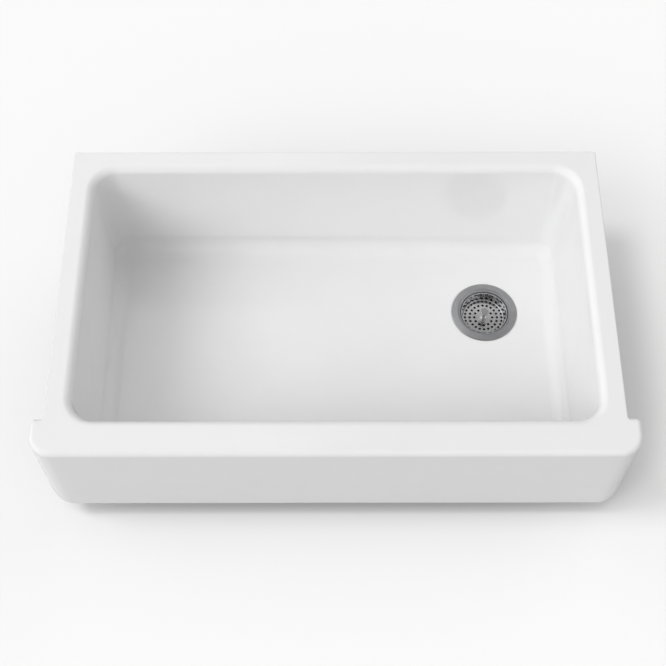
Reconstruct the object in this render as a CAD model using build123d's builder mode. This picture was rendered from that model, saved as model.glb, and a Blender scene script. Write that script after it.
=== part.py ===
from build123d import *
import os
from math import cos, hypot, radians, sin, tan

# Farmhouse apron front sink with a basket strainer. Millimetres, +X right, +Y to the wall, +Z up.
# The origin is the middle of the apron's top face, so z = 0 is the deck.

# Overall sizes of the casting. Its height is the bowl, its floor and the feet.
overall_width = 906.5
overall_depth = 547.7
iron_wall = 8.0

# Apron and its ears
apron_depth = 61.0
apron_height = 193.7
apron_corner = 35.0  # radius of the upright front corners, seen from above
apron_lower_corner = 48.0  # radius of the lower corners, seen from the front
apron_top_round = 8.0
apron_bottom_round = 3.0
apron_side_ease = 0.4  # the lower corners' arcs reach past the sides, and so meet them at an angle
ear_width = 19.75
ear_back_corner = 8.5
ear_return = 33.0  # width of the wall behind each ear

# Deck round the bowl
deck_wall = 8.5
skirt_height = 24.0
skirt_wall = 8.0
rim_side = 37.0
rim_back = 37.0
rim_front = 59.0
rim_roll = 13.0
deck_corner = 3.0
deck_edge_round = 2.0

# Bowl
bowl_depth = 228.6
wall_draft = 2.5
bowl_corner = 38.0
cove = 26.0
floor_wall = 9.0
floor_fall_right = 0.4  # degrees, towards the drain
floor_fall_back = 0.3

# Cast feet under the floor
foot_radius = 26.0
foot_height = 4.0
foot_inset = 66.0  # from the bowl's walls at the deck

# Drain, placed from the bowl's right and back walls at the deck
drain_from_right = 134.3
drain_from_back = 139.7
drain_hole_clearance = 2.3  # round the cup
drain_seat_margin = 1.35  # flat seat beyond the flange
drain_seat_sink = 0.3  # least depth of the seat below the floor

# Strainer body. Heights are above the drain seat.
cup_bore = 42.0
cup_wall = 1.7
cup_straight = 36.0
cup_low_round = 3.0
flange_width = 11.65
flange_crown = 2.9
flange_edge = 2.0
flange_lip = 0.35
flange_bevel = 0.8
flange_crown_round = 1.4
step_width = 3.5  # from the cup's bore to the middle of the step
step_slope = 1.0
ledge_height = 0.8
ledge_bevel = 0.6
neck_clearance = 0.2
seat_drop = 10.0  # fall of the conical seat from the cup's wall to the throat
outlet_bore = 21.6
throat_bevel = 1.4
shelf_width = 2.0  # ledge in the outlet that carries the crossbar
spud_wall = 2.1
spud_shoulder = 1.0
spud_length = 20.5  # below that ledge

# Seals and locknut on the strainer body
putty_thickness = 1.0
putty_margin = 1.8
thread_clearance = 0.2
gasket_thickness = 3.0
gasket_overlap = 12.0  # beyond the drain hole
gasket_round = 0.8
friction_thickness = 1.2
friction_overlap = 10.0
locknut_height = 10.8
locknut_wall = 7.1
locknut_chamfer = 0.8
lug_count = 6
lug_width = 10.0
lug_reach = 6.0

# Crossbar in the outlet
crossbar_height = 2.5
crossbar_arm = 3.0
crossbar_clearance = 0.1
crossbar_lap = 0.5
hub_wall = 1.6
hub_clearance = 0.15  # round the grip ring
hub_rise = 3.0  # above the ledge
hub_length = 13.5
hub_headroom = 3.2  # between the hub and the closed stopper's nut

# Tailpiece joint
tail_radius = 19.05
tail_wall = 0.9
tail_length = 101.6
tail_flange_margin = 1.2  # inside the spud's outer face
tail_flange_thickness = 1.5
tail_neck = 0.3  # thicker wall under the flange, which centres the nut
tail_neck_below = 2.0  # length of it that shows below the nut
tail_washer_thickness = 2.5
coupling_grip = 14.0  # length of the nut on the spud
coupling_wall = 4.1
coupling_sides = 8
coupling_shoulder = 3.5
coupling_chamfer = 1.5
tail_clearance = 0.3

# Post, at rest in the raised position
close_travel = 8.0
seal_gap = 0.35  # left between the rubber and its seat when closed
post_radius = 3.0
post_journal = 3.5  # the stretch that the basket turns on
post_collar = 5.2
post_collar_height = 1.5
post_bevel = 0.6
post_reach = 6.0  # length in the hub when raised
stack_clearance = 0.05
journal_clearance = 0.05
turning_gap = 0.1

# Knob
knob_top = 4.4
knob_height = 8.0
knob_radius = 7.2
knob_rim = 2.6
knob_rim_round = 0.8
knob_top_round = 1.0
knob_foot_radius = 4.2
knob_foot_height = 2.4
knob_foot_flare = 0.3
knob_foot_round = 1.2
knob_thread_depth = 4.8
knob_post_gap = 0.2

# Perforated basket
basket_clearance = 1.4
basket_rim_top = -0.2
basket_depth = 17.4
basket_bead = 1.4
basket_bead_width = 1.6
basket_bead_round = 0.6
basket_draft = 3.2  # how much narrower the plate is than the rim
basket_round = 1.8
sheet = 0.8
hole_radius = 2.2
plate_rings = 3
plate_ring_margin = 3.4  # from the plate's edge to the outer ring of holes
plate_ring_pitch = 8.25
plate_ring_holes = 28  # in the outer ring
plate_ring_fewer = 8  # in each ring further in
wall_holes = 24
wall_hole_phase = 5.0
wall_row_high = 3.9  # below the rim
wall_row_low = 5.2  # above the plate

# Stopper stack under the basket
basket_washer_radius = 9.0
washer_thickness = 1.0
sleeve_radius = 5.0
seal_margin = 12.5  # inside the cup's bore
seal_thickness = 5.0
seal_bevel = 2.07
seal_round = 0.8
seal_disc_margin = 5.5
lower_disc_radius = 15.0
nut_across_flats = 10.0
nut_height = 4.0
nut_chamfer = 0.5

# Grip ring in the post's groove
grip_section = 1.15
grip_drop = 2.0  # below the hub's top
groove_radius = 2.1
groove_clearance = 0.15

# Places of the casting
apron_front = -apron_depth / 2
apron_back = apron_front + apron_depth
deck_back = apron_front + overall_depth
deck_width = overall_width - 2 * ear_width
bowl_width = deck_width - 2 * rim_side
bowl_front = apron_front + rim_front
bowl_back = deck_back - rim_back
bowl_length = bowl_back - bowl_front
bowl_middle = (bowl_front + bowl_back) / 2
beyond = 5.0  # how far a cutter runs past the face that it opens

# Radii round the drain, from the cup outwards
cup_outer = cup_bore + cup_wall
step_radius = cup_bore + step_width
flange_radius = step_radius + flange_width
drain_hole_radius = cup_outer + drain_hole_clearance
drain_seat_radius = flange_radius + drain_seat_margin
neck_radius = drain_hole_radius - neck_clearance
throat_radius = outlet_bore + throat_bevel
shelf_bore = outlet_bore - shelf_width
spud_radius = outlet_bore + spud_wall
ring_bore = cup_outer + thread_clearance
stack_bore = post_radius + stack_clearance
journal_bore = post_journal + journal_clearance
basket_rim_radius = cup_bore - basket_clearance
basket_top_radius = basket_rim_radius - basket_bead_width
plate_radius = basket_top_radius - basket_draft
seal_radius = cup_bore - seal_margin
grip_centre = groove_radius + stack_clearance + grip_section
hub_bore = grip_centre + grip_section + hub_clearance

# The drain's axis, and the level of its seat
drain_x = bowl_width / 2 - drain_from_right
drain_y = bowl_back - drain_from_back
fall_x = tan(radians(floor_fall_right))
fall_y = tan(radians(floor_fall_back))
drain_floor = -bowl_depth - fall_x * drain_x - fall_y * (drain_y - bowl_middle)
seat_z = drain_floor - drain_seat_radius * hypot(fall_x, fall_y) - drain_seat_sink
underside_z = seat_z - floor_wall

# Heights above the drain seat, from the basket down to the tailpiece, with the basket raised
plate_top = basket_rim_top - basket_depth
plate_low = plate_top - sheet
journal_low = plate_low - turning_gap
sleeve_top = journal_low - washer_thickness
seat_slope = seat_drop / (cup_bore - throat_radius)
bevel_top = close_travel + seal_gap - cup_straight - seal_margin * seat_slope
seal_low = bevel_top - seal_bevel
seal_top = seal_low + seal_thickness
sleeve_low = seal_top + washer_thickness
lower_disc_low = seal_low - washer_thickness
hub_top = lower_disc_low - nut_height - close_travel - hub_headroom
grip_height = hub_top - grip_drop
post_end = hub_top - post_reach
shelf_height = hub_top - hub_rise
throat_height = -cup_straight - seat_drop
spud_end = shelf_height - spud_length
tail_flange_top = spud_end - tail_washer_thickness
tail_flange_low = tail_flange_top - tail_flange_thickness
gasket_top = -floor_wall
friction_top = gasket_top - gasket_thickness
locknut_top = friction_top - friction_thickness

downwards = Plane((0, bowl_middle, 0), x_dir=(1, 0, 0), z_dir=(0, 0, -1))
profile_plane = Plane((drain_x, drain_y, seat_z), x_dir=(1, 0, 0), z_dir=(0, -1, 0))
drain_axis = Axis((drain_x, drain_y, seat_z), (0, 0, 1))


def at_height(height):
    """The level plane on the drain's axis, at a height above the drain seat."""
    return Plane((drain_x, drain_y, seat_z + height))


def corner(sketch, radius, height):
    """The corner of a profile that lies nearest to a radius and a height."""
    return sketch.vertices().sort_by_distance((radius, height))[0]


# Apron: a block rounded in plan and in front view, hollow from below
with BuildPart() as apron:
    with BuildSketch(Plane.XY.offset(-apron_height)) as apron_plan:
        Rectangle(overall_width, apron_depth)
        fillet(apron_plan.vertices().group_by(Axis.Y)[0], apron_corner)
        fillet(apron_plan.vertices().group_by(Axis.Y)[-1], ear_back_corner)
    extrude(amount=apron_height)
    with BuildSketch(Plane.XZ.offset(-apron_depth)) as apron_elevation:
        with Locations((0, -apron_height / 2)):
            Rectangle(overall_width + 2 * apron_side_ease, apron_height)
        fillet(apron_elevation.vertices().group_by(Axis.Y)[0], apron_lower_corner)
    extrude(amount=2 * apron_depth, mode=Mode.INTERSECT)
    fillet(apron.faces().sort_by(Axis.Z)[-1].edges(), apron_top_round)
    # The outline of the underside, without the two smooth lines where its corners end
    low_edges = apron.edges().filter_by(lambda e: e.center().Z < apron_lower_corner - apron_height)
    smooth_x = overall_width / 2 + apron_side_ease - apron_lower_corner
    fillet(low_edges.filter_by(lambda e: abs(abs(e.center().X) - smooth_x) > 0.01), apron_bottom_round)

# Space inside the apron
with BuildPart() as apron_pocket:
    with BuildSketch(Plane.XY.offset(-apron_height - beyond)) as pocket_plan:
        Rectangle(overall_width - 2 * iron_wall, apron_depth - 2 * iron_wall)
        fillet(pocket_plan.vertices().group_by(Axis.Y)[0], apron_corner - iron_wall)
    extrude(amount=apron_height + beyond - deck_wall)
    with BuildSketch(Plane.XZ.offset(-apron_depth)) as pocket_elevation:
        with Locations((0, -deck_wall)):
            Rectangle(
                overall_width - 2 * iron_wall,
                apron_height - iron_wall - deck_wall,
                align=(Align.CENTER, Align.MAX),
            )
        fillet(pocket_elevation.vertices().group_by(Axis.Y)[0], apron_lower_corner - iron_wall)
        with Locations((0, -deck_wall)):
            Rectangle(
                overall_width - 2 * apron_lower_corner,
                apron_height + beyond - deck_wall,
                align=(Align.CENTER, Align.MAX),
            )
    extrude(amount=2 * apron_depth, mode=Mode.INTERSECT)
    # The apron's back is open between the returns behind its ears
    with BuildSketch(Plane.XY.offset(-deck_wall)):
        with Locations((0, apron_back)):
            Rectangle(overall_width - 2 * ear_return, 2 * iron_wall + beyond)
    extrude(amount=-apron_height)

# Bowl cavity: drafted walls, a floor that falls to the drain, and a cove between them
with BuildPart() as bowl_cavity:
    with BuildSketch(downwards):
        RectangleRounded(bowl_width, bowl_length, bowl_corner)
    extrude(amount=bowl_depth + drain_seat_radius / 2, taper=wall_draft)
    split(
        bisect_by=Plane((0, bowl_middle, -bowl_depth), x_dir=(1, 0, -fall_x), z_dir=(fall_x, fall_y, 1)),
        keep=Keep.TOP,
    )
    fillet(bowl_cavity.faces().sort_by(Axis.Z)[0].edges(), cove)

# Sink: one casting
with BuildPart() as sink_basin:
    with BuildSketch() as deck_plan:
        with Locations((0, deck_back / 2)):
            Rectangle(deck_width, deck_back)
        fillet(deck_plan.vertices().group_by(Axis.Y)[-1], deck_corner)
    extrude(amount=-skirt_height)
    with BuildSketch(Plane.XY.offset(-deck_wall)):
        with Locations((0, (deck_back - skirt_wall) / 2)):
            Rectangle(deck_width - 2 * skirt_wall, deck_back - skirt_wall)
    extrude(amount=-skirt_height, mode=Mode.SUBTRACT)
    add(apron)
    add(apron_pocket, mode=Mode.SUBTRACT)
    with BuildSketch(downwards):
        RectangleRounded(bowl_width + 2 * iron_wall, bowl_length + 2 * iron_wall, bowl_corner + iron_wall)
    extrude(amount=-underside_z, taper=wall_draft)
    fillet(sink_basin.faces().sort_by(Axis.Z)[0].edges(), cove + iron_wall)
    with BuildSketch(Plane((0, bowl_middle, underside_z - foot_height))):
        with GridLocations(bowl_width - 2 * foot_inset, bowl_length - 2 * foot_inset, 2, 2):
            Circle(foot_radius)
    extrude(amount=foot_height + floor_wall / 2)
    add(bowl_cavity, mode=Mode.SUBTRACT)
    with BuildSketch(at_height(0)):
        Circle(drain_seat_radius)
    extrude(amount=beyond, mode=Mode.SUBTRACT)
    with BuildSketch(at_height(beyond)):
        Circle(drain_hole_radius)
    extrude(amount=-floor_wall - 2 * beyond, mode=Mode.SUBTRACT)
    deck_face = sink_basin.faces().sort_by(Axis.Z)[-1]
    fillet(deck_face.inner_wires()[0].edges(), rim_roll)
    deck_rim = sink_basin.edges().filter_by(
        lambda e: abs(e.center().Z) < 0.01 and e.center().Y > apron_back
        and (abs(abs(e.center().X) - deck_width / 2) < deck_corner or e.center().Y > deck_back - deck_corner)
    )
    fillet(deck_rim, deck_edge_round)

# Strainer body: flange, cup, conical seat and threaded spud, turned in one piece
with BuildPart() as strainer_body:
    with BuildSketch(profile_plane) as body_profile:
        with BuildLine():
            Polyline(
                (flange_radius, flange_lip),
                (flange_radius, flange_edge - flange_bevel),
                (flange_radius - 2 * flange_bevel, flange_edge),
                (step_radius + step_slope, flange_crown),
                (step_radius - step_slope, ledge_height),
                (cup_bore + ledge_bevel, ledge_height),
                (cup_bore, ledge_height - ledge_bevel),
                (cup_bore, -cup_straight),
                (throat_radius, throat_height),
                (outlet_bore, throat_height - throat_bevel),
                (outlet_bore, shelf_height),
                (shelf_bore, shelf_height),
                (shelf_bore, spud_end),
                (spud_radius, spud_end),
                (spud_radius, throat_height - 2 * cup_wall),
                (spud_radius + spud_shoulder, throat_height - cup_wall),
                (cup_outer, -cup_straight - cup_wall / 2),
                (cup_outer, ledge_height - cup_wall),
                (neck_radius, ledge_height - cup_wall),
                (neck_radius, putty_thickness),
                (flange_radius - 2 * flange_bevel, putty_thickness),
                close=True,
            )
        make_face()
        fillet(corner(body_profile, step_radius + step_slope, flange_crown), flange_crown_round)
        fillet(corner(body_profile, cup_bore, -cup_straight), cup_low_round)
        fillet(corner(body_profile, cup_outer, -cup_straight - cup_wall / 2), cup_low_round)
    revolve(axis=drain_axis)

# Sealing bead between the flange and the enamel
with BuildPart() as putty_ring:
    with BuildSketch(at_height(0)):
        Circle(flange_radius - putty_margin)
        Circle(drain_hole_radius + putty_margin, mode=Mode.SUBTRACT)
    extrude(amount=putty_thickness)

# Gasket, friction ring and locknut, one under the other below the floor
with BuildPart() as floor_gasket:
    with BuildSketch(at_height(gasket_top)):
        Circle(drain_hole_radius + gasket_overlap)
        Circle(ring_bore, mode=Mode.SUBTRACT)
    extrude(amount=-gasket_thickness)
    fillet(floor_gasket.faces().sort_by(Axis.Z)[0].edges(), gasket_round)

with BuildPart() as friction_ring:
    with BuildSketch(at_height(friction_top)):
        Circle(drain_hole_radius + friction_overlap)
        Circle(ring_bore, mode=Mode.SUBTRACT)
    extrude(amount=-friction_thickness)

with BuildPart() as locknut:
    with BuildSketch(at_height(locknut_top)):
        Circle(ring_bore + locknut_wall)
        with PolarLocations(ring_bore + locknut_wall + lug_reach / 2, lug_count):
            Rectangle(2 * lug_reach, lug_width)
        Circle(ring_bore, mode=Mode.SUBTRACT)
    extrude(amount=-locknut_height)
    chamfer(locknut.faces().sort_by(Axis.Z)[0].edges(), locknut_chamfer)

# Crossbar: a ring on the shelf in the outlet, four arms and the hub that guides the post
with BuildPart() as outlet_crossbar:
    with BuildSketch(at_height(shelf_height)):
        Circle(outlet_bore - crossbar_clearance)
        Circle(shelf_bore, mode=Mode.SUBTRACT)
        Rectangle(2 * (shelf_bore + crossbar_lap), crossbar_arm)
        Rectangle(crossbar_arm, 2 * (shelf_bore + crossbar_lap))
        Circle(hub_bore, mode=Mode.SUBTRACT)
    extrude(amount=crossbar_height)
    with BuildSketch(at_height(hub_top)):
        Circle(hub_bore + hub_wall)
        Circle(hub_bore, mode=Mode.SUBTRACT)
    extrude(amount=-hub_length)

# Tailpiece, its washer and the coupling nut that clamps both to the spud
with BuildPart() as tailpiece_washer:
    with BuildSketch(at_height(spud_end)):
        Circle(spud_radius - tail_flange_margin)
        Circle(tail_radius - tail_wall, mode=Mode.SUBTRACT)
    extrude(amount=-tail_washer_thickness)

with BuildPart() as tailpiece:
    with BuildSketch(at_height(tail_flange_top)):
        Circle(tail_radius)
    extrude(amount=-tail_length)
    with BuildSketch(at_height(tail_flange_low)):
        Circle(tail_radius + tail_neck)
    extrude(amount=-coupling_shoulder - tail_neck_below)
    with BuildSketch(at_height(tail_flange_top)):
        Circle(spud_radius - tail_flange_margin)
    extrude(amount=-tail_flange_thickness)
    with BuildSketch(at_height(tail_flange_top)):
        Circle(tail_radius - tail_wall)
    extrude(amount=-tail_length, mode=Mode.SUBTRACT)

with BuildPart() as coupling_nut:
    coupling_top = spud_end + coupling_grip
    coupling_bore = spud_radius + thread_clearance
    with BuildSketch(at_height(coupling_top)):
        RegularPolygon(coupling_bore + coupling_wall, coupling_sides, major_radius=False)
    extrude(amount=tail_flange_low - coupling_shoulder - coupling_top)
    chamfer(coupling_nut.faces().filter_by(Axis.Z).edges(), coupling_chamfer)
    with BuildSketch(at_height(coupling_top)):
        Circle(coupling_bore)
    extrude(amount=tail_flange_low - coupling_top, mode=Mode.SUBTRACT)
    with BuildSketch(at_height(coupling_top)):
        Circle(tail_radius + tail_neck + tail_clearance)
    extrude(amount=tail_flange_low - coupling_shoulder - beyond - coupling_top, mode=Mode.SUBTRACT)

# Post: turned rod with a collar above the basket, a journal that it turns on, and a groove
with BuildPart() as lift_post:
    post_top = knob_top - knob_height + knob_thread_depth - knob_post_gap
    collar_low = plate_top + stack_clearance
    groove_half = grip_section + groove_clearance
    with BuildSketch(profile_plane):
        with BuildLine():
            Polyline(
                (0, post_end),
                (post_radius - post_bevel, post_end),
                (post_radius, post_end + post_bevel),
                (post_radius, grip_height - groove_half),
                (groove_radius, grip_height - groove_half),
                (groove_radius, grip_height + groove_half),
                (post_radius, grip_height + groove_half),
                (post_radius, journal_low),
                (post_journal, journal_low),
                (post_journal, collar_low),
                (post_collar, collar_low),
                (post_collar, collar_low + post_collar_height),
                (post_radius, collar_low + post_collar_height + post_bevel),
                (post_radius, post_top),
                (0, post_top),
                close=True,
            )
        make_face()
    revolve(axis=drain_axis)

# Knob: flat top, rounded edge, sides drawn in towards its foot
with BuildPart() as lift_knob:
    knob_low = knob_top - knob_height
    with BuildSketch(profile_plane) as knob_profile:
        with BuildLine():
            Polyline(
                (stack_bore, knob_low),
                (knob_foot_radius, knob_low),
                (knob_foot_radius + knob_foot_flare, knob_low + knob_foot_height),
                (knob_radius, knob_top - knob_rim),
                (knob_radius, knob_top),
                (0, knob_top),
                (0, knob_low + knob_thread_depth),
                (stack_bore, knob_low + knob_thread_depth),
                close=True,
            )
        make_face()
        fillet(corner(knob_profile, knob_radius, knob_top), knob_top_round)
        fillet(corner(knob_profile, knob_radius, knob_top - knob_rim), knob_rim_round)
        fillet(
            corner(knob_profile, knob_foot_radius + knob_foot_flare, knob_low + knob_foot_height),
            knob_foot_round,
        )
    revolve(axis=drain_axis)

# Basket: pressed cup with a beaded rim, holes in its plate and its wall
with BuildPart() as basket_cup:
    with BuildSketch(profile_plane) as cup_profile:
        with BuildLine():
            Polyline(
                (journal_bore, plate_top),
                (plate_radius, plate_top),
                (basket_top_radius, basket_rim_top),
                (basket_rim_radius, basket_rim_top),
                (basket_rim_radius, basket_rim_top - basket_bead),
                (basket_top_radius + sheet, basket_rim_top - basket_bead),
                (plate_radius + sheet, plate_low),
                (journal_bore, plate_low),
                close=True,
            )
        make_face()
        fillet(corner(cup_profile, plate_radius, plate_top), basket_round)
        fillet(corner(cup_profile, plate_radius + sheet, plate_low), basket_round + sheet)
        fillet(corner(cup_profile, basket_rim_radius, basket_rim_top), basket_bead_round)
        fillet(corner(cup_profile, basket_rim_radius, basket_rim_top - basket_bead), basket_bead_round)
    revolve(axis=drain_axis)
    with BuildSketch(at_height(plate_top + sheet)):
        for ring in range(plate_rings):
            ring_radius = plate_radius - plate_ring_margin - ring * plate_ring_pitch
            with PolarLocations(ring_radius, plate_ring_holes - ring * plate_ring_fewer):
                Circle(hole_radius)
    extrude(amount=-3 * sheet, mode=Mode.SUBTRACT)
    hole_angles = [radians(wall_hole_phase + 360 / wall_holes * hole) for hole in range(wall_holes)]
    hole_planes = [
        Plane((drain_x, drain_y, seat_z + row), x_dir=(0, 0, 1), z_dir=(cos(angle), sin(angle), 0))
        for row in (basket_rim_top - wall_row_high, plate_top + wall_row_low)
        for angle in hole_angles
    ]
    with BuildSketch(*hole_planes):
        Circle(hole_radius)
    extrude(amount=basket_rim_radius + beyond, mode=Mode.SUBTRACT)

# Stack under the basket: washer, sleeve, disc, rubber, disc, nut
with BuildPart() as basket_washer:
    with BuildSketch(at_height(journal_low)):
        Circle(basket_washer_radius)
        Circle(stack_bore, mode=Mode.SUBTRACT)
    extrude(amount=-washer_thickness)

with BuildPart() as spacer_sleeve:
    with BuildSketch(at_height(sleeve_top)):
        Circle(sleeve_radius)
        Circle(stack_bore, mode=Mode.SUBTRACT)
    extrude(amount=sleeve_low - sleeve_top)

with BuildPart() as upper_seal_disc:
    with BuildSketch(at_height(sleeve_low)):
        Circle(seal_radius - seal_disc_margin)
        Circle(stack_bore, mode=Mode.SUBTRACT)
    extrude(amount=-washer_thickness)

# The rubber's bevel follows the conical seat, a small gap clear of it when closed
with BuildPart() as stopper_seal:
    with BuildSketch(profile_plane) as seal_profile:
        with BuildLine():
            Polyline(
                (stack_bore, seal_top),
                (seal_radius, seal_top),
                (seal_radius, bevel_top),
                (seal_radius - seal_bevel / seat_slope, seal_low),
                (stack_bore, seal_low),
                close=True,
            )
        make_face()
        fillet(corner(seal_profile, seal_radius, seal_top), seal_round)
    revolve(axis=drain_axis)

with BuildPart() as lower_seal_disc:
    with BuildSketch(at_height(seal_low)):
        Circle(lower_disc_radius)
        Circle(stack_bore, mode=Mode.SUBTRACT)
    extrude(amount=-washer_thickness)

with BuildPart() as retaining_nut:
    with BuildSketch(at_height(lower_disc_low)):
        RegularPolygon(nut_across_flats / 2, 6, major_radius=False)
    extrude(amount=-nut_height)
    chamfer(retaining_nut.faces().sort_by(Axis.Z)[0].edges(), nut_chamfer)
    with BuildSketch(at_height(lower_disc_low)):
        Circle(stack_bore)
    extrude(amount=-nut_height, mode=Mode.SUBTRACT)

# Grip ring in the post's groove, inside the crossbar's hub
with BuildPart() as grip_ring:
    with BuildSketch(profile_plane):
        with Locations((grip_centre, grip_height)):
            Circle(grip_section)
    revolve(axis=drain_axis)

pieces = {
    "sink_basin": sink_basin,
    "strainer_body": strainer_body,
    "putty_ring": putty_ring,
    "floor_gasket": floor_gasket,
    "friction_ring": friction_ring,
    "locknut": locknut,
    "outlet_crossbar": outlet_crossbar,
    "tailpiece_washer": tailpiece_washer,
    "tailpiece": tailpiece,
    "coupling_nut": coupling_nut,
    "lift_post": lift_post,
    "lift_knob": lift_knob,
    "basket_cup": basket_cup,
    "basket_washer": basket_washer,
    "spacer_sleeve": spacer_sleeve,
    "upper_seal_disc": upper_seal_disc,
    "stopper_seal": stopper_seal,
    "lower_seal_disc": lower_seal_disc,
    "retaining_nut": retaining_nut,
    "grip_ring": grip_ring,
}
os.makedirs("parts", exist_ok=True)
for label, piece in pieces.items():
    piece.part.label = label
    export_step(piece.part, f"parts/{label}.step")
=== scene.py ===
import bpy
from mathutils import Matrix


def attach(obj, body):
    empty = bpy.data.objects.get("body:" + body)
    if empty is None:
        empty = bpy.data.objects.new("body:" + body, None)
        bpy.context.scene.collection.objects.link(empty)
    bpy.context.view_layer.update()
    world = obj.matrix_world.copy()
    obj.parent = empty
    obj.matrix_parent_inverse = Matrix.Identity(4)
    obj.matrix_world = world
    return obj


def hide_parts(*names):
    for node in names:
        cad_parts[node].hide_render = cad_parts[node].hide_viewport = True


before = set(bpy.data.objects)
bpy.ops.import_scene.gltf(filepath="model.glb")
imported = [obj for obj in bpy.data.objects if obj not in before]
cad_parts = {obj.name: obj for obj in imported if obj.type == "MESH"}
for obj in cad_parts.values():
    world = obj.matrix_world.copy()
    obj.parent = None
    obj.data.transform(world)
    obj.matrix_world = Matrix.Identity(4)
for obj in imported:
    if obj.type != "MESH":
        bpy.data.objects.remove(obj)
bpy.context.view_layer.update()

import logging
from collections.abc import Iterable, Sequence
from dataclasses import dataclass, field
from enum import Enum
from math import cos, radians, sin, sqrt, tan

import bmesh
import bpy
import numpy as np
from mathutils import Euler, Vector

# Looks of the enamelled farmhouse sink. Sizes in the classes are millimetres in the part's own frame:
# +X right, +Y to the wall, +Z up, with the origin in the middle of the apron's top face.
log = logging.getLogger("sink")
MM = 0.001
Points = np.ndarray
Pair = tuple[float, float]
Face = tuple[int, ...]
Inputs = dict[str | int, object]
Tree = bpy.types.NodeTree
Socket = bpy.types.NodeSocket
DRAIN: Pair = (262.2, 340.5)  # the drain's axis in plan


def linear(code: str) -> tuple[float, float, float, float]:
    """Turns an sRGB hex colour to the linear values that shaders take.

    Args:
        code: the colour, such as "#F4F2EE".

    Returns:
        Linear red, green and blue, and an alpha of 1.
    """
    parts = [int(code[place:place + 2], 16) / 255 for place in (1, 3, 5)]
    # The sRGB curve is a straight line in the darkest tones and a power above them
    red, green, blue = (
        part / 12.92 if part <= 0.04045 else ((part + 0.055) / 1.055) ** 2.4 for part in parts)
    return red, green, blue, 1.0


def per_mm(size: float) -> float:
    """The scale that gives a pattern of metres a repeat of size millimetres."""
    return 1 / (size * MM)


def add_node(tree: Tree, kind: str, inputs: Inputs | None = None, **settings: object) -> bpy.types.Node:
    """Adds a node with its settings and links.

    Args:
        tree: the node tree that it goes into.
        kind: the node's type, such as "ShaderNodeBump".
        inputs: for each input, by name or place, a value or the output socket that feeds it.
        **settings: the node's own properties.

    Returns:
        The new node.
    """
    node = tree.nodes.new(kind)
    for name, value in settings.items():
        setattr(node, name, value)
    for key, value in (inputs or {}).items():
        if isinstance(value, Socket):
            tree.links.new(value, node.inputs[key])
        else:
            node.inputs[key].default_value = value
    return node


def empty_tree(owner: bpy.types.Material | bpy.types.World) -> Tree:
    """Gives a material or a world a node tree without nodes, and returns it.

    Args:
        owner: the material or world.

    Returns:
        Its node tree.
    """
    owner.use_nodes = True
    owner.node_tree.nodes.clear()
    return owner.node_tree


def add_object(name: str, data: bpy.types.ID) -> bpy.types.Object:
    """Puts a new object into the scene.

    Args:
        name: its name.
        data: its mesh, lamp or camera.

    Returns:
        The object.
    """
    made = bpy.data.objects.new(name, data)
    bpy.context.scene.collection.objects.link(made)
    return made


class Coat(Enum):
    """The two coats of the casting, by material place on its mesh."""

    SHOW_ENAMEL = 0
    GROUND_COAT = 1


@dataclass(frozen=True)
class Finish:
    """What every finish has: a name, and a material that its own method paints."""

    name: str

    def material(self) -> bpy.types.Material:
        """Makes the finish's material.

        Returns:
            A new material with this finish's nodes.
        """
        made = bpy.data.materials.new(self.name)
        tree = empty_tree(made)
        add_node(tree, "ShaderNodeOutputMaterial", {"Surface": self.paint(tree)})
        return made

    def paint(self, tree: Tree) -> Socket:
        """Adds the finish's nodes to a tree and returns the shader's output. Each finish has its own."""
        raise NotImplementedError


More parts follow.
